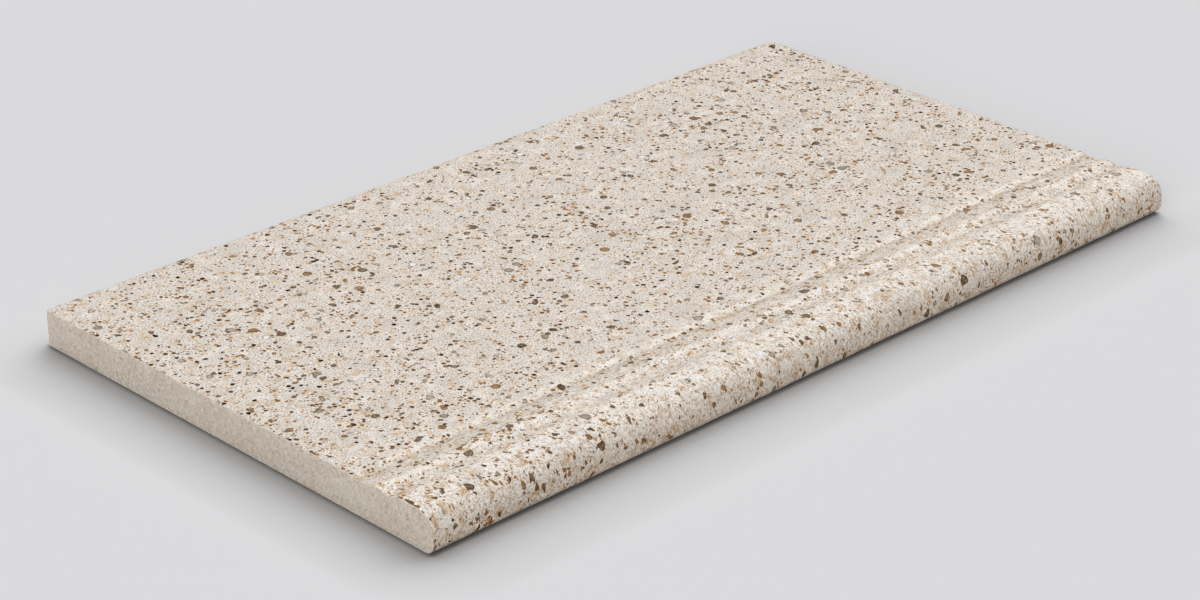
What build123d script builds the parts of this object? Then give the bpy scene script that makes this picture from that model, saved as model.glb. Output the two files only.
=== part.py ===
"""Stair tread tile: one pressed porcelain slab with a rounded nosing and two anti-slip steps.

Frame: origin at the middle of the underside, +X along the tile's length, the nosing towards -Y,
the back edge towards +Y and +Z up. All sizes are in millimetres.
"""

import os

from build123d import *

# Overall size of the slab
length = 600.0
depth = 330.0
thickness = 22.0

# Rounded nosing along the front
nose_radius = 12.5
nose_under_radius = 6.0
crest_rise = 1.4
crest_depth = 26.0

# Saw-tooth anti-slip steps behind the nosing, measured back from its front
front_floor = 34.0
front_drop = 1.0
front_lip = 42.5
front_rise = 0.7
rear_floor = 58.0
rear_drop = 1.6
rear_lip = 62.5
step_round = 1.8

# Softened edges left by the press
corner_radius = 3.0
arris_radius = 0.7

# Shallow keying relief in the underside, its pockets stretched a little to fill their field
key_margin = 30.0
key_pocket = 37.0
key_rib = 8.0
key_depth = 1.0
key_draft = 20.0

front = -depth / 2
back = depth / 2
crest = thickness + crest_rise
key_columns = round((length - 2 * key_margin + key_rib) / (key_pocket + key_rib))
key_rows = round((depth - 2 * key_margin + key_rib) / (key_pocket + key_rib))
key_pitch_x = (length - 2 * key_margin + key_rib) / key_columns
key_pitch_y = (depth - 2 * key_margin + key_rib) / key_rows

with BuildPart() as tread_tile:
    # Section from the nosing over the two steps to the back edge
    with BuildSketch(Plane.YZ):
        with BuildLine():
            under = Line((back, 0), (front + nose_under_radius, 0))
            toe = JernArc(under @ 1, under % 1, nose_under_radius, -90)
            brow = JernArc((front, crest - nose_radius), (0, 1), nose_radius, -90)
            Line(toe @ 1, brow @ 0)
            top = FilletPolyline(
                brow @ 1,
                (front + crest_depth, crest),
                (front + front_floor, thickness - front_drop),
                (front + front_lip, thickness + front_rise),
                (front + rear_floor, thickness - rear_drop),
                (front + rear_lip, thickness),
                (back, thickness),
                radius=step_round,
            )
            Line(top @ 1, under @ 0)
        make_face()
    extrude(amount=length / 2, both=True)

    # Rounded upright corners at the back
    fillet(tread_tile.edges().filter_by(Axis.Z).group_by(Axis.Y)[-1], radius=corner_radius)

    # Thin softened arris round both ends and along the back
    ends = tread_tile.faces().filter_by(Axis.X)
    rim = [edge for edge in ends.edges() if abs((edge % 0.5).Z) < 0.99]
    fillet(rim, radius=arris_radius)

    # Keying pockets, set in from the edges so that the edges stay straight
    with BuildSketch(Plane.XY):
        with GridLocations(key_pitch_x, key_pitch_y, key_columns, key_rows):
            Rectangle(key_pitch_x - key_rib, key_pitch_y - key_rib)
    extrude(amount=key_depth, taper=key_draft, mode=Mode.SUBTRACT)

tread_tile.part.label = "tread_tile"
os.makedirs("parts", exist_ok=True)
export_step(tread_tile.part, "parts/tread_tile.step")
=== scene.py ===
"""Dresses the stair tread tile: surface relief, speckled face, clay body, floor, light and camera."""
import math

import bpy
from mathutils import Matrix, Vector, noise


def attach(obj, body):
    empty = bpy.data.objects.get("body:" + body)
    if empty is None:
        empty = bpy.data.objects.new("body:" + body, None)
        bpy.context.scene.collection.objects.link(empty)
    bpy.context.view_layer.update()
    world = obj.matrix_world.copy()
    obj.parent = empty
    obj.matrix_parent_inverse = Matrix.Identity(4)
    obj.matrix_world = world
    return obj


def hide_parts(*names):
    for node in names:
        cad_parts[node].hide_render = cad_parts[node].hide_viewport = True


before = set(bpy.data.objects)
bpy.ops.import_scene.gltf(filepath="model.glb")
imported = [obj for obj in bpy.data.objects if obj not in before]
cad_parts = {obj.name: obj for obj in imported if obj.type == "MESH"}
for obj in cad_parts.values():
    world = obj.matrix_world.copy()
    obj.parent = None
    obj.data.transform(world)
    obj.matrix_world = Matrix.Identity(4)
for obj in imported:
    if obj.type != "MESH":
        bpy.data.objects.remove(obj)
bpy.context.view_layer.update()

MM = 0.001
UP = Vector((0.0, 0.0, 1.0))

# Places on the tile, in millimetres, as the part has them
RIM_X = 299.3          # where the softened edges of the two ends begin
TOE_Y = -159.0         # where the nosing's lower rounding leaves the underside
CREST_Y = -152.5       # where the nosing's upper rounding meets its top
BACK_Y = 162.0         # where the rounded back corners begin
TOP_Z = 22.0
LOW_EDGE_Z = 1.0       # just over the softened edges of the underside
FRONT_Y = -165.0
CREST_EDGE = 26.0      # this and the two lips are measured back from the front
FRONT_LIP = 42.5
REAR_LIP = 62.5
FIELD_Y = FRONT_Y + REAR_LIP + 2.0
SAME_PLACE = 0.001

# The sheet that carries the relief, in millimetres
COLUMN_STEP = 1.2
STEP_ZONE_ROW = 1.0
FIELD_ROW = 3.4
FIELD_GRADE = 1.3      # over 1 draws the field's rows together behind the rear lip
LEAST_ROW = 0.7        # rim points closer than this share a row
END_FADE = 3.0         # the relief dies away over these lengths at the ends, the toe and the back
TOE_FADE = 4.0
BACK_FADE = 5.0
FLAT_NORMAL = 0.9999   # CAD faces this square to an axis are shaded flat
SHARP_ANGLE = 50.0

# Unevenness of the face, layer by layer: grain and height in millimetres, and place in the noise
UNEVEN = (
    (34.0, 0.10, Vector((0.0, 0.0, 0.0))),
    (11.0, 0.07, Vector((3.1, 7.7, 0.0))),
    (4.2, 0.05, Vector((9.4, 1.3, 0.0))),
)

# The lips of the steps, with the depth of their chips
LIPS = ((REAR_LIP, 0.85), (FRONT_LIP, 0.75), (CREST_EDGE, 0.25))
CHIP_REACH = 3.4       # how far from a lip its chips go
WANDER_FULL = 1.5      # a lip's wander is whole up to this distance from it
WANDER_REACH = 7.0     # and gone at this one

# Across the steps, from the front edge: over 0 where the face is bared, under 0 on the smooth ramps, under -1
# at their feet, where shade is painted
BARED = (
    (0.0, 0.0), (10.0, 0.2), (16.0, 0.45), (24.0, 0.7), (27.0, 0.3), (30.0, -0.7), (34.5, -1.2),
    (36.0, -0.6), (39.6, 0.4), (41.2, 1.4), (43.2, 1.4), (44.4, 0.0), (46.0, -0.9), (54.0, -1.1),
    (58.6, -1.5), (59.6, 0.3), (60.6, 1.5), (62.8, 1.5), (64.0, 0.3), (66.0, 0.0),
)

# The print's stretches up the section from the toe, and along the tile, in millimetres
NOSE_RUN = 46.0        # up to here, near the crest's edge, the print is drawn out
NOSE_STRETCH = 0.72    # the print's way there, as a share of the real one
# painted shade on the lower nosing: none at 40, whole from 15 down to the toe
NOSE_SHADE_RUN = (40.0, 15.0)
SPARED_RUN = (42.0, 50.0)
NOSE_SHARE_RUN = (40.0, 70.0)
NOSE_STONE_RUN = (60.0, 44.0)
FIELD_RUN = (66.0, 104.0)
NEAR_END = (-270.0, -120.0)
FAR_END = (60.0, 220.0)
FROM_MIDDLE = (60.0, 300.0)


def smooth(low, high, value):
    t = min(max((value - low) / (high - low), 0.0), 1.0)
    return t * t * (3.0 - 2.0 * t)


def cad_faces(node):
    """The node's points in millimetres, with doubles merged, and its faces over them."""
    mesh = node.data
    index, points, place = [], [], {}
    for vertex in mesh.vertices:
        key = tuple(round(c / MM, 4) + 0.0 for c in vertex.co)
        if key not in place:
            place[key] = len(points)
            points.append(Vector(vertex.co) / MM)
        index.append(place[key])
    faces = []
    for polygon in mesh.polygons:
        loop = [index[v] for v in polygon.vertices]
        if len(set(loop)) == len(loop):
            faces.append(loop)
    return points, faces


def on_rim(p, side):
    within = p.y < BACK_Y + SAME_PLACE and (p.z > LOW_EDGE_Z or p.y < TOE_Y + SAME_PLACE)
    return abs(p.x - side * RIM_X) < 2 * SAME_PLACE and within


def on_back_edge(p):
    return abs(p.z - TOP_Z) < SAME_PLACE and p.y > BACK_Y + SAME_PLACE


def rim(points, side):
    """The points along one end of the pressed face, up the nosing and on to the back."""
    def up_the_section(i):
        p = points[i]
        return (0, p.z) if p.y <= CREST_Y + SAME_PLACE else (1, p.y)
    return sorted((i for i, p in enumerate(points) if on_rim(p, side)), key=up_the_section)


def relief(x, run, y):
    """Height of the pressed stone surface over the plain section, in millimetres."""
    at = Vector((x, run, 0.0))
    height = 0.0
    for grain, rise, offset in UNEVEN:
        height += noise.noise(at / grain + offset) * rise
    for lip, chip in LIPS:
        near = 1.0 - smooth(0.0, CHIP_REACH, abs(y - (FRONT_Y + lip)))
        if near > 0.0:
            coarse = noise.noise(Vector((x / 5.0, y / 4.0, 0.4)))
            small = noise.noise(Vector((x / 2.6, y / 2.2, 2.2)))
            height -= chip * near * smooth(-0.15, 0.75, coarse + 0.7 * small)
    return height


def lip_shift(x, y):
    """How far the lips of the steps wander along the depth, in millimetres."""
    shift = 0.0
    for lip, _ in LIPS:
        near = 1.0 - smooth(WANDER_FULL, WANDER_REACH, abs(y - (FRONT_Y + lip)))
        if near > 0.0:
            slow = noise.noise(Vector((x / 21.0, lip, 5.5)))
            quick = noise.noise(Vector((x / 6.0, lip, 8.5)))
            shift += near * (slow + 0.9 * quick)
    return shift


def bared(y):
    depth = y - FRONT_Y
    for (a, low), (b, high) in zip(BARED, BARED[1:]):
        if a <= depth < b:
            return low + (high - low) * (depth - a) / (b - a)
    return 0.0


def print_run(run):
    """The way up the section as the print takes it: drawn out round the nosing."""
    return run if run > NOSE_RUN else NOSE_RUN - (NOSE_RUN - run) * NOSE_STRETCH


def section_rows(points, left, right):
    """The sheet's rows up the section, with the rim points they meet or pass, and the section's length."""
    rows, run = [], 0.0
    for a, b, c, d in zip(left, left[1:], right, right[1:]):
        start, stop = points[a], points[b]
        gap = (stop - start).length
        in_field = (start.y + stop.y) / 2 > FIELD_Y
        spacing, grade = (FIELD_ROW, FIELD_GRADE) if in_field else (STEP_ZONE_ROW, 1.0)
        cuts = max(1, math.ceil(gap / spacing))
        normal = Vector((0.0, -(stop - start).z, (stop - start).y)).normalized()
        for k in range(cuts):
            if k == 0 and rows and run - rows[-1]["run"] < LEAST_ROW:
                rows[-1]["passed"].append((a, c, run))
                continue
            way = (k / cuts) ** grade
            rows.append({
                "at": start.lerp(stop, way), "run": run + gap * way, "normal": normal,
                "ends": (a, c) if k == 0 else None, "sides": ((a, b), (c, d)), "passed": [],
            })
        run += gap
    rows.append({
        "at": points[left[-1]], "run": run, "normal": UP,
        "ends": (left[-1], right[-1]), "sides": None, "passed": [],
    })
    rows[0]["soft"] = -UP
    for before, row in zip(rows, rows[1:]):
        row["soft"] = (before["normal"] + row["normal"]).normalized()
    return rows, run


def sheet_point(x, row, length):
    """A point of the sheet, moved off the plain section by the relief, which fades at the edges."""
    y, run = row["at"].y, row["run"]
    place = Vector((x, y, row["at"].z))
    fade = smooth(0.0, END_FADE, RIM_X - abs(x)) * smooth(0.0, TOE_FADE, run)
    fade *= smooth(0.0, BACK_FADE, length - run)
    if fade > 0.0:
        place += row["soft"] * fade * relief(x, run, y)
        place.y += fade * lip_shift(x, y)
    return place


def lay_sheet(points, rows, length):
    """Adds the sheet's points. Gives them row by row, those that lie on CAD edges, and places on the print."""
    count = round(2 * RIM_X / COLUMN_STEP)
    columns = [-RIM_X + 2 * RIM_X * i / count for i in range(count + 1)]
    side_of = {0: 0, count: 1}
    grid, inserts, print_at = [], {}, {}
    for row in rows:
        line = []
        for column, x in enumerate(columns):
            side = side_of.get(column)
            if side is not None and row["ends"]:
                vertex = row["ends"][side]
            else:
                vertex = len(points)
                points.append(sheet_point(x, row, length))
                if side is not None:
                    inserts.setdefault(row["sides"][side], []).append(vertex)
                elif row is rows[0]:
                    inserts.setdefault(row["ends"], []).append(vertex)
            print_at[vertex] = (x, print_run(row["run"]), 0.0)
            line.append(vertex)
        grid.append(line)
        for a, c, run in row["passed"]:
            print_at[a] = (-RIM_X, print_run(run), 0.0)
            print_at[c] = (RIM_X, print_run(run), 0.0)
    return grid, inserts, print_at


def sheet_faces(rows, grid):
    """Four-sided faces between the rows. Those at the two ends take in the rim points passed over."""
    faces = []
    for row, lower, upper in zip(rows, grid, grid[1:]):
        passed_left = [a for a, c, run in reversed(row["passed"])]
        passed_right = [c for a, c, run in row["passed"]]
        faces.append([lower[0], lower[1], upper[1], upper[0]] + passed_left)
        for i in range(1, len(lower) - 2):
            faces.append([lower[i], lower[i + 1], upper[i + 1], upper[i]])
        faces.append([lower[-2], lower[-1]] + passed_right + [upper[-1], upper[-2]])
    return faces


def with_inserts(face, inserts):
    """A CAD face with the sheet's points put into the edges that they lie on, so that the two meet."""
    filled = []
    for a, b in zip(face, face[1:] + face[:1]):
        filled.append(a)
        filled += inserts.get((a, b), inserts.get((b, a), [])[::-1])
    return filled


def build_tile(node):
    """The piece that stands for the node: its own faces, with the sheet in place of the pressed face."""
    points, faces = cad_faces(node)
    left, right = rim(points, -1), rim(points, 1)
    back_edge = [i for i, p in enumerate(points) if on_back_edge(p)]
    strip = set(left) | set(right) | set(back_edge)
    body = [face for face in faces if not all(i in strip for i in face)]

    rows, length = section_rows(points, left, right)
    grid, inserts, print_at = lay_sheet(points, rows, length)
    back_edge.sort(key=lambda i: math.atan2(points[i].y - BACK_Y, points[i].x))
    for i in back_edge:
        print_at[i] = (points[i].x, print_run(length + points[i].y - BACK_Y), 0.0)
    whole = [with_inserts(face, inserts) for face in body]
    whole += sheet_faces(rows, grid)
    whole.append(grid[-1] + back_edge)

    mesh = bpy.data.meshes.new("tread_tile_surface")
    mesh.from_pydata([p * MM for p in points], [], whole)
    mesh.validate()
    mesh.update()
    mesh.attributes.new("face_mm", "FLOAT_VECTOR", "POINT")
    mesh.attributes.new("bared", "FLOAT", "POINT")
    spread = [c for i, p in enumerate(points) for c in print_at.get(i, tuple(p))]
    mesh.attributes["face_mm"].data.foreach_set("vector", spread)
    mesh.attributes["bared"].data.foreach_set("value", [bared(p.y) for p in points])
    for polygon in mesh.polygons:
        in_body = polygon.index < len(body)
        polygon.material_index = 1 if in_body else 0
        polygon.use_smooth = not (in_body and max(abs(c) for c in polygon.normal) > FLAT_NORMAL)
    mesh.set_sharp_from_angle(angle=math.radians(SHARP_ANGLE))
    piece = bpy.data.objects.new("tread_tile_surface", mesh)
    bpy.context.scene.collection.objects.link(piece)
    return piece


class Nodes:
    """A short way to write a material's node tree. Sizes are in millimetres."""

    VEIN_CORE = 0.012      # a vein is whole this near to the middle of its noise
    BLUNT_REACH = 0.44     # a stone's corners are cut this far from its middle, in cells
    BLUNT_SOFT = 0.12
    STONE_SOFT = 0.06

    def __init__(self, name):
        self.material = bpy.data.materials.new(name)
        self.material.use_nodes = True
        self.tree = self.material.node_tree
        self.tree.nodes.clear()

    def add(self, kind, inputs=None, **settings):
        node = self.tree.nodes.new(kind)
        for key, value in settings.items():
            setattr(node, key, value)
        for key, value in (inputs or {}).items():
            self.put(node.inputs[key], value)
        return node

    def put(self, socket, value):
        if isinstance(value, bpy.types.NodeSocket):
            self.tree.links.new(value, socket)
        elif value is not None:
            socket.default_value = value

    def math(self, operation, a, b=None, c=None):
        return self.add("ShaderNodeMath", {0: a, 1: b, 2: c}, operation=operation).outputs[0]

    def times(self, a, b):
        return self.math("MULTIPLY", a, b)

    def vector(self, operation, a, b=None, scale=None):
        inputs = {0: a, 1: b}
        if scale is not None:
            inputs["Scale"] = scale
        return self.add("ShaderNodeVectorMath", inputs, operation=operation).outputs[0]

    def span(self, value, low, high, to_low=0.0, to_high=1.0, kind="SMOOTHSTEP"):
        inputs = {0: value, 1: low, 2: high, 3: to_low, 4: to_high}
        return self.add("ShaderNodeMapRange", inputs, interpolation_type=kind).outputs[0]

    def noise(self, at, size_mm, detail=2.0, rough=0.5, distort=0.0, output="Fac"):
        inputs = {"Vector": at, "Scale": 1.0 / size_mm, "Detail": detail}
        inputs.update({"Roughness": rough, "Distortion": distort})
        return self.add("ShaderNodeTexNoise", inputs, noise_dimensions="3D").outputs[output]

    def shaken(self, at, size_mm, reach):
        """Places moved about by a noise, by half the reach at most."""
        off = self.noise(at, size_mm, 1.0, 0.5, output="Color")
        off = self.vector("SUBTRACT", off, (0.5, 0.5, 0.5))
        return self.vector("ADD", at, self.vector("SCALE", off, scale=reach))

    def veins(self, at, size_mm, detail, rough, half_width):
        """Thin lines along the middle of a noise."""
        off = self.math("SUBTRACT", self.noise(at, size_mm, detail, rough), 0.5)
        return self.span(self.math("ABSOLUTE", off), half_width, self.VEIN_CORE)

    def mix(self, share, a, b, blend="MIX"):
        node = self.add("ShaderNodeMix", data_type="RGBA", blend_type=blend)
        self.put(node.inputs["Factor"], share)
        self.put(node.inputs["A"], a)
        self.put(node.inputs["B"], b)
        return node.outputs["Result"]

    def ramp(self, value, stops, kind="CONSTANT"):
        node = self.add("ShaderNodeValToRGB", {0: value})
        node.color_ramp.interpolation = kind
        elements = node.color_ramp.elements
        while len(elements) < len(stops):
            elements.new(0.5)
        for element, (position, colour) in zip(elements, stops):
            element.position = position
            element.color = colour
        return node.outputs[0]

    def voronoi(self, at, cell_mm, feature="F1", dimensions="2D"):
        inputs = {"Vector": at, "Scale": 1.0 / cell_mm, "Randomness": 1.0}
        return self.add("ShaderNodeTexVoronoi", inputs, voronoi_dimensions=dimensions, feature=feature)

    def cells(self, at, cell_mm, dimensions="2D"):
        """The distance from each cell's middle, and three random numbers for each cell."""
        node = self.voronoi(at, cell_mm, "F1", dimensions)
        random = self.add("ShaderNodeSeparateColor", {0: node.outputs["Color"]}).outputs
        return node.outputs["Distance"], random

    def specks(self, at, cell_mm, share, small, large, edge):
        """Small grains, one to a cell at most: where they are, and a random number for each."""
        distance, random = self.cells(at, cell_mm)
        radius = self.span(random[1], 0.0, 1.0, small / cell_mm, large / cell_mm, "LINEAR")
        inside = self.span(self.math("SUBTRACT", distance, radius), edge / cell_mm, -edge / cell_mm)
        return self.times(inside, self.math("LESS_THAN", random[0], share)), random[2]

    def stones(self, at, cell_mm, share, inset):
        """Broken stones with blunt corners: where they are, a random number for each, and the way in."""
        distance, random = self.cells(at, cell_mm)
        border = self.voronoi(at, cell_mm, "DISTANCE_TO_EDGE").outputs["Distance"]
        trim = self.span(random[1], 0.0, 1.0, inset[0], inset[1], "LINEAR")
        blunt = self.math("SUBTRACT", self.math("SUBTRACT", self.BLUNT_REACH, trim), distance)
        depth = self.math("SMOOTH_MIN", self.math("SUBTRACT", border, trim), blunt, self.BLUNT_SOFT)
        inside = self.span(depth, 0.0, self.STONE_SOFT)
        return self.times(inside, self.math("LESS_THAN", random[0], share)), random[2], depth

    def finish(self, shader):
        out = self.add("ShaderNodeOutputMaterial")
        self.tree.links.new(shader.outputs[0], out.inputs["Surface"])
        return self.material


def srgb(r, g, b):
    """A colour as it is read off a screen, 0 to 255, as the renderer's own numbers."""
    channels = []
    for c in (r, g, b):
        c /= 255.0
        channels.append(c / 12.92 if c <= 0.04045 else ((c + 0.055) / 1.055) ** 2.4)
    return (*channels, 1.0)


# Tones of the print: the place of each one in its noise or random number, and its colour
CURL_TONES = (
    (0.29, srgb(136, 102, 64)), (0.38, srgb(194, 174, 148)), (0.46, srgb(225, 217, 206)),
    (0.55, srgb(243, 239, 233)), (0.65, srgb(255, 254, 253)),
)
SAND_TONES = (
    (0.28, srgb(140, 114, 84)), (0.38, srgb(195, 181, 164)), (0.47, srgb(217, 209, 199)),
    (0.57, srgb(232, 226, 219)), (0.70, srgb(254, 251, 248)),
)
STREAK_TONES = ((0.34, srgb(152, 136, 116)), (0.50, srgb(204, 193, 180)), (0.64, srgb(232, 225, 215)))
DUST_TONES = ((0.0, srgb(176, 130, 74)), (0.42, srgb(136, 92, 46)), (0.84, srgb(84, 56, 29)))
DOT_TONES = (
    (0.0, srgb(108, 70, 32)), (0.30, srgb(146, 99, 46)), (0.56, srgb(74, 47, 22)),
    (0.68, srgb(170, 122, 64)), (0.84, srgb(30, 20, 12)),
)
STONE_TONES = (
    (0.0, srgb(108, 85, 57)), (0.20, srgb(156, 144, 127)), (0.34, srgb(142, 104, 58)),
    (0.48, srgb(122, 101, 76)), (0.62, srgb(178, 169, 157)), (0.74, srgb(156, 120, 74)),
    (0.86, srgb(80, 60, 38)), (0.91, srgb(246, 242, 236)),
)
PALE = srgb(247, 242, 234)
PALE_VEIN = srgb(246, 242, 236)
GREY_CLOUD = srgb(196, 189, 180)
# painted shade at the feet of the steps' risers
STEP_FOOT_SHADE = srgb(168, 150, 128)
OCHRE = srgb(210, 178, 132)
BROWN_HAIR = srgb(170, 126, 72)
BROWN_STROKE = srgb(150, 108, 60)
FADED_DOT = srgb(160, 130, 92)
STONE_LIGHT = srgb(200, 190, 176)
STONE_DARK = srgb(96, 76, 54)
# painted shade along the stones' rims, as if they sat in shallow pits
STONE_RIM_SHADE = srgb(66, 44, 26)
# painted shade, with a warm tint, multiplied over the lower nosing
NOSE_PAINTED_SHADE = (0.88, 0.82, 0.75, 1.0)

# Stones of two sizes: cell in millimetres, share of the cells that hold one, and inset from the cell
SMALL_STONES = (4.8, 0.105, (0.03, 0.17))
LARGE_STONES = (8.6, 0.088, (0.04, 0.18))


class Face(Nodes):
    """The printed stone look, laid out in millimetres along the tile and up its section."""

    def __init__(self):
        super().__init__("porcelain_face")
        self.plain = self.add("ShaderNodeAttribute", attribute_name="face_mm").outputs["Vector"]
        self.along, self.run = self.add("ShaderNodeSeparateXYZ", {0: self.plain}).outputs[:2]
        self.field = self.span(self.run, *FIELD_RUN)
        self.grainy = self.shaken(self.plain, 2.6, self.by_zone(2.2, 0.8))
        self.other = self.vector("ADD", self.grainy, (310.0, 170.0, 0.0))
        self.third = self.vector("ADD", self.grainy, (770.0, 530.0, 0.0))
        self.flow = self.shaken(self.plain, 5.6, 8.5)
        self.curl = self.noise(self.flow, 1.25, 2.0, 0.68, 0.4)
        self.step_zone()

    def by_zone(self, steps, field):
        """One value on the nosing and the steps, another on the field."""
        return self.span(self.field, 0.0, 1.0, steps, field, "LINEAR")

    def step_zone(self):
        """Bared lips, smooth ramps and painted shade at the feet of the steps, with ragged borders."""
        ragged = self.math("SUBTRACT", self.noise(self.plain, 3.4, 3.0, 0.72), 0.5)
        level = self.add("ShaderNodeAttribute", attribute_name="bared").outputs["Fac"]
        bare = self.math("MULTIPLY_ADD", ragged, 2.4, level)
        drawn_out = self.vector("MULTIPLY", self.plain, (1.0, 0.35, 1.0))
        gaps = self.span(self.noise(drawn_out, 8.0, 2.0, 0.6), 0.36, 0.54, 0.40, 1.0)
        self.lip = self.times(self.span(bare, 0.30, 0.95), gaps)
        self.slope = self.span(bare, -0.15, -0.9)
        # painted shade where each ramp meets the riser behind it
        self.foot_shade = self.span(bare, -1.0, -1.8, 0.0, 0.7)

    def ground(self):
        """Curled cream and white strokes on the nosing and the steps, fine sand on the field."""
        curled = self.ramp(self.curl, CURL_TONES, "LINEAR")
        sandy = self.ramp(self.noise(self.plain, 0.95, 1.0, 0.62, 0.3), SAND_TONES, "LINEAR")
        colour = self.mix(self.field, curled, sandy)
        along_steps = self.vector("MULTIPLY", self.plain, (0.18, 1.0, 1.0))
        streaked = self.ramp(self.noise(along_steps, 1.25, 2.0, 0.62, 0.6), STREAK_TONES, "LINEAR")
        colour = self.mix(self.times(self.slope, 0.46), colour, streaked)
        # painted shade at the feet of the risers
        colour = self.mix(self.foot_shade, colour, STEP_FOOT_SHADE)
        pale = self.span(self.noise(self.other, 10.0, 2.0, 0.5), 0.56, 0.65, 0.0, self.by_zone(0.50, 0.42))
        colour = self.mix(self.math("MAXIMUM", pale, self.times(self.lip, 0.90)), colour, PALE)
        grey = self.span(self.noise(self.third, 24.0, 1.0, 0.6), 0.50, 0.72, 0.0, 0.30)
        colour = self.mix(grey, colour, GREY_CLOUD)
        veins = self.times(self.veins(self.flow, 3.1, 1.0, 0.5, 0.045), self.by_zone(0.55, 0.10))
        return self.mix(veins, colour, PALE_VEIN)

    def ochre(self, colour):
        """Ochre patches, with brown hairs and strokes in them."""
        patch = self.math("MULTIPLY_ADD", self.lip, 0.05, self.noise(self.third, 7.5, 2.0, 0.66))
        patch = self.span(patch, 0.52, 0.69)
        colour = self.mix(self.times(patch, self.span(self.along, *NEAR_END, 0.62, 0.42)), colour, OCHRE)
        hair = self.veins(self.vector("ADD", self.flow, (41.0, 97.0, 0.0)), 3.2, 1.5, 0.55, 0.050)
        hair = self.times(hair, self.math("MULTIPLY_ADD", patch, 0.60, 0.12))
        colour = self.mix(self.times(hair, self.by_zone(1.0, 0.55)), colour, BROWN_HAIR)
        stroke = self.span(self.noise(self.other, 1.05, 2.0, 0.62, 1.0), 0.42, 0.36)
        stroke = self.times(stroke, self.math("MULTIPLY_ADD", patch, 0.25, 0.75))
        return self.mix(self.times(stroke, self.by_zone(1.0, 0.35)), colour, BROWN_STROKE)

    def clusters(self):
        """How thick the specks and stones lie: in loose clusters, and fewer on most of the nosing and steps."""
        cluster = self.span(self.noise(self.other, 22.0, 1.0, 0.6), 0.36, 0.66, 0.58, 1.48)
        outward = self.span(self.math("ABSOLUTE", self.along), *FROM_MIDDLE, 0.96, 1.22, "LINEAR")
        cluster = self.times(cluster, outward)
        spared = self.math("MAXIMUM", self.lip, self.slope)
        spared = self.times(spared, self.span(self.run, *SPARED_RUN, 0.0, 0.25))
        near_end = self.span(self.along, *NEAR_END, 1.0, 0.46)
        far_end = self.span(self.along, *FAR_END, 0.46, 0.85)
        share = self.span(self.run, *NOSE_SHARE_RUN, self.math("MAXIMUM", near_end, far_end), 1.0)
        return self.times(cluster, self.math("SUBTRACT", share, spared))

    def small_grains(self, colour, cluster):
        """Dust and dots. The dots are paler on the nosing and the steps."""
        dust, kind = self.specks(self.grainy, 1.7, self.times(cluster, 0.118), 0.40, 0.78, 0.09)
        colour = self.mix(dust, colour, self.ramp(kind, DUST_TONES))
        dots, kind = self.specks(self.other, 2.9, self.times(cluster, 0.106), 0.60, 1.54, 0.08)
        tone = self.ramp(kind, DOT_TONES)
        faded = self.mix(self.span(self.along, *NEAR_END, 0.15, 0.50), tone, FADED_DOT)
        return self.mix(dots, colour, self.mix(self.field, faded, tone))

    def large_grains(self, colour, cluster):
        """Stones, small ones often and large ones now and then, mottled, and with painted shade along their
        rims.
        """
        mottle = self.noise(self.plain, 1.5, 2.0, 0.6, 0.6)
        # where a noise puts painted shade on the stones' rims
        rim_shade_side = self.span(self.noise(self.plain, 4.0, 1.0, 0.5), 0.36, 0.56, 0.15, 1.0)
        cluster = self.times(cluster, self.span(self.run, *NOSE_STONE_RUN, 1.0, 1.15))
        for place, (cell_mm, share, inset) in ((self.third, SMALL_STONES), (self.grainy, LARGE_STONES)):
            stone, kind, depth = self.stones(place, cell_mm, self.times(cluster, share), inset)
            tone = self.ramp(kind, STONE_TONES)
            tone = self.mix(self.span(mottle, 0.48, 0.68, 0.0, 0.45), tone, STONE_LIGHT)
            tone = self.mix(self.span(mottle, 0.44, 0.32, 0.0, 0.40), tone, STONE_DARK)
            # painted shade along the rims, on the sides that the noise picks
            rim_shade = self.times(self.span(depth, 0.15, 0.05), rim_shade_side)
            tone = self.mix(self.times(rim_shade, 0.85), tone, STONE_RIM_SHADE)
            colour = self.mix(stone, colour, tone)
        return colour


def face_material():
    n = Face()
    cluster = n.clusters()
    colour = n.ochre(n.ground())
    colour = n.small_grains(colour, cluster)
    colour = n.large_grains(colour, cluster)
    # Painted shade: the lower nosing is darkened, with a warm tint, towards the toe
    colour = n.mix(n.span(n.run, *NOSE_SHADE_RUN), colour, NOSE_PAINTED_SHADE, "MULTIPLY")
    bump = n.add("ShaderNodeBump", {"Height": n.curl, "Strength": 0.6, "Distance": 0.2 * MM}).outputs[0]
    rough = n.span(n.curl, 0.3, 0.7, 0.58, 0.72, "LINEAR")
    inputs = {"Base Color": colour, "Roughness": rough, "Normal": bump, "Specular IOR Level": 0.05}
    return n.finish(n.add("ShaderNodeBsdfPrincipled", inputs))


def body_material():
    n = Nodes("porcelain_body")
    place = n.vector("SCALE", n.add("ShaderNodeTexCoord").outputs["Object"], scale=1.0 / MM)
    grain = n.noise(place, 1.8, 3.0, 0.68, 0.8)
    cloud = n.noise(place, 18.0, 2.0, 0.5)
    colour = n.mix(n.span(cloud, 0.35, 0.7), srgb(203, 191, 178), srgb(209, 199, 186))
    colour = n.mix(n.span(grain, 0.50, 0.68, 0.0, 0.85), colour, srgb(170, 154, 136))
    colour = n.mix(n.span(grain, 0.46, 0.32, 0.0, 0.8), colour, srgb(228, 220, 210))
    distance, random = n.cells(place, 3.6, "3D")
    speck = n.times(n.span(distance, 0.20, 0.11), n.math("LESS_THAN", random[0], 0.30))
    colour = n.mix(n.times(speck, 0.9), colour, srgb(112, 92, 74))
    bump = n.add("ShaderNodeBump", {"Height": grain, "Strength": 0.5, "Distance": 0.12 * MM}).outputs[0]
    inputs = {"Base Color": colour, "Roughness": 0.82, "Normal": bump, "Specular IOR Level": 0.25}
    return n.finish(n.add("ShaderNodeBsdfPrincipled", inputs))


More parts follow.
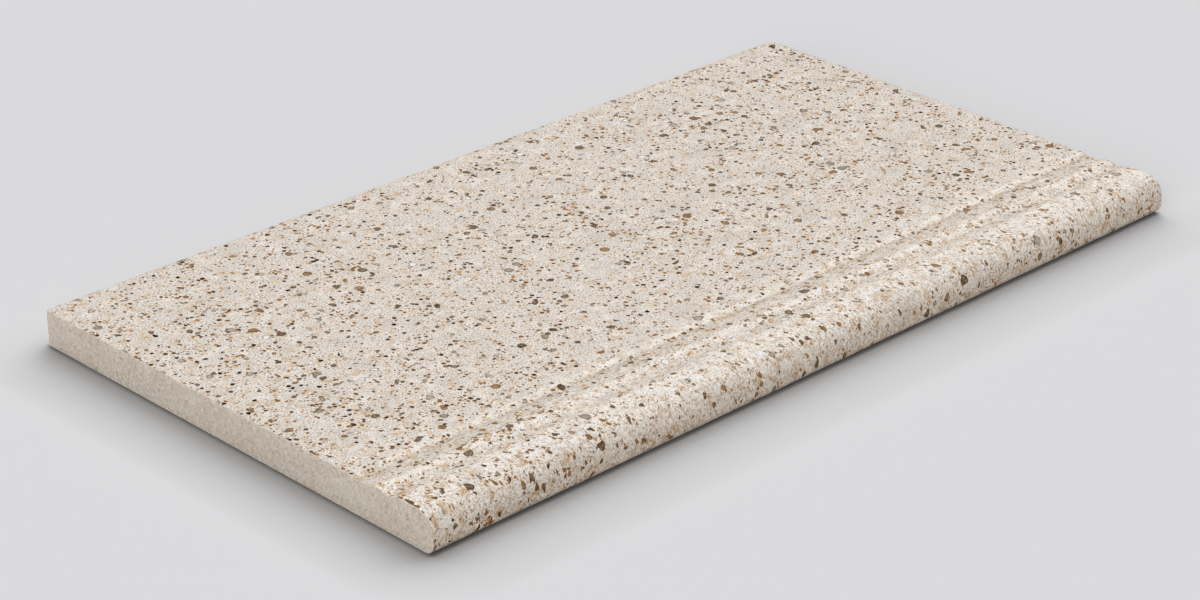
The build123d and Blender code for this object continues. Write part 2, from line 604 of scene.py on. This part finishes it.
def floor_material():
    """A matt floor with painted shade beside the tile and a painted contact shadow, a dark line where the two
    meet, both from ambient occlusion.
    """
    n = Nodes("studio_floor")
    lean = n.add("ShaderNodeCombineXYZ", {0: 0.45, 1: 0.45, 2: 0.77}).outputs[0]
    open_floor = (0.70, 0.70, 0.715, 1.0)
    shade = (0.41, 0.41, 0.41, 1.0)
    # painted contact shadow at the tile's foot
    painted_contact_shadow = (0.26, 0.26, 0.26, 1.0)

    def openness(reach):
        inputs = {"Distance": reach, "Normal": lean}
        return n.add("ShaderNodeAmbientOcclusion", inputs, samples=4).outputs["AO"]

    # painted shadow beside the tile, from ambient occlusion leaning towards the key lamp
    colour = n.mix(n.span(openness(50 * MM), 0.45, 1.0, 0.0, 1.0, "LINEAR"), shade, open_floor)
    # painted contact shadow: a dark line where the tile meets the floor
    colour = n.mix(n.span(openness(3 * MM), 0.45, 0.95, 0.0, 1.0, "LINEAR"), painted_contact_shadow, colour)
    inputs = {"Base Color": colour, "Roughness": 1.0, "Specular IOR Level": 0.0}
    return n.finish(n.add("ShaderNodeBsdfPrincipled", inputs))


def sun(name, toward, spread, strength):
    """A soft lamp far off, in the given direction, so that the floor is lit evenly."""
    lamp = bpy.data.lights.new(name, "SUN")
    lamp.angle = math.radians(spread)
    lamp.energy = strength
    holder = bpy.data.objects.new(name, lamp)
    holder.location = Vector(toward).normalized() * 3.0
    holder.rotation_euler = Vector(toward).to_track_quat("Z", "Y").to_euler()
    bpy.context.scene.collection.objects.link(holder)


def studio():
    """The floor, a hair under the tile so that the two do not share a plane, the sky and two suns."""
    half, low = 4.0, -0.2 * MM
    corners = [(-half, -half, low), (half, -half, low), (half, half, low), (-half, half, low)]
    mesh = bpy.data.meshes.new("floor")
    mesh.from_pydata(corners, [], [(0, 1, 2, 3)])
    floor = bpy.data.objects.new("floor", mesh)
    floor.data.materials.append(floor_material())
    bpy.context.scene.collection.objects.link(floor)

    world = bpy.data.worlds.new("studio")
    world.use_nodes = True
    sky = world.node_tree.nodes["Background"]
    sky.inputs["Color"].default_value = (1.0, 1.0, 1.0, 1.0)
    sky.inputs["Strength"].default_value = 0.25
    bpy.context.scene.world = world
    sun("key", toward=(0.48, 0.27, 0.84), spread=70.0, strength=2.20)
    sun("front", toward=(-0.85, -0.40, 0.34), spread=40.0, strength=1.58)


def camera():
    """The photograph's view, fitted to its outline in a frame 1200 wide and 600 high."""
    focal_px, frame_px, sensor = 3193.90, 1200.0, 36.0
    azimuth, elevation, distance = math.radians(-44.155), math.radians(25.906), 1.84174
    target = Vector((-0.04885, -0.02641, 0.010))
    level = math.cos(elevation)
    back = Vector((math.sin(azimuth) * level, -math.cos(azimuth) * level, math.sin(elevation)))
    lens = bpy.data.cameras.new("camera")
    lens.sensor_fit = "HORIZONTAL"
    lens.sensor_width = sensor
    lens.lens = focal_px * sensor / frame_px
    lens.clip_start = 0.05
    holder = bpy.data.objects.new("camera", lens)
    holder.location = target + back * distance
    holder.rotation_euler = back.to_track_quat("Z", "Y").to_euler()
    bpy.context.scene.collection.objects.link(holder)
    bpy.context.scene.camera = holder


tile = build_tile(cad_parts["tread_tile"])
tile.data.materials.append(face_material())
tile.data.materials.append(body_material())
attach(tile, "root")
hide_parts("tread_tile")
studio()
camera()
bpy.context.scene.view_settings.view_transform = "Standard"
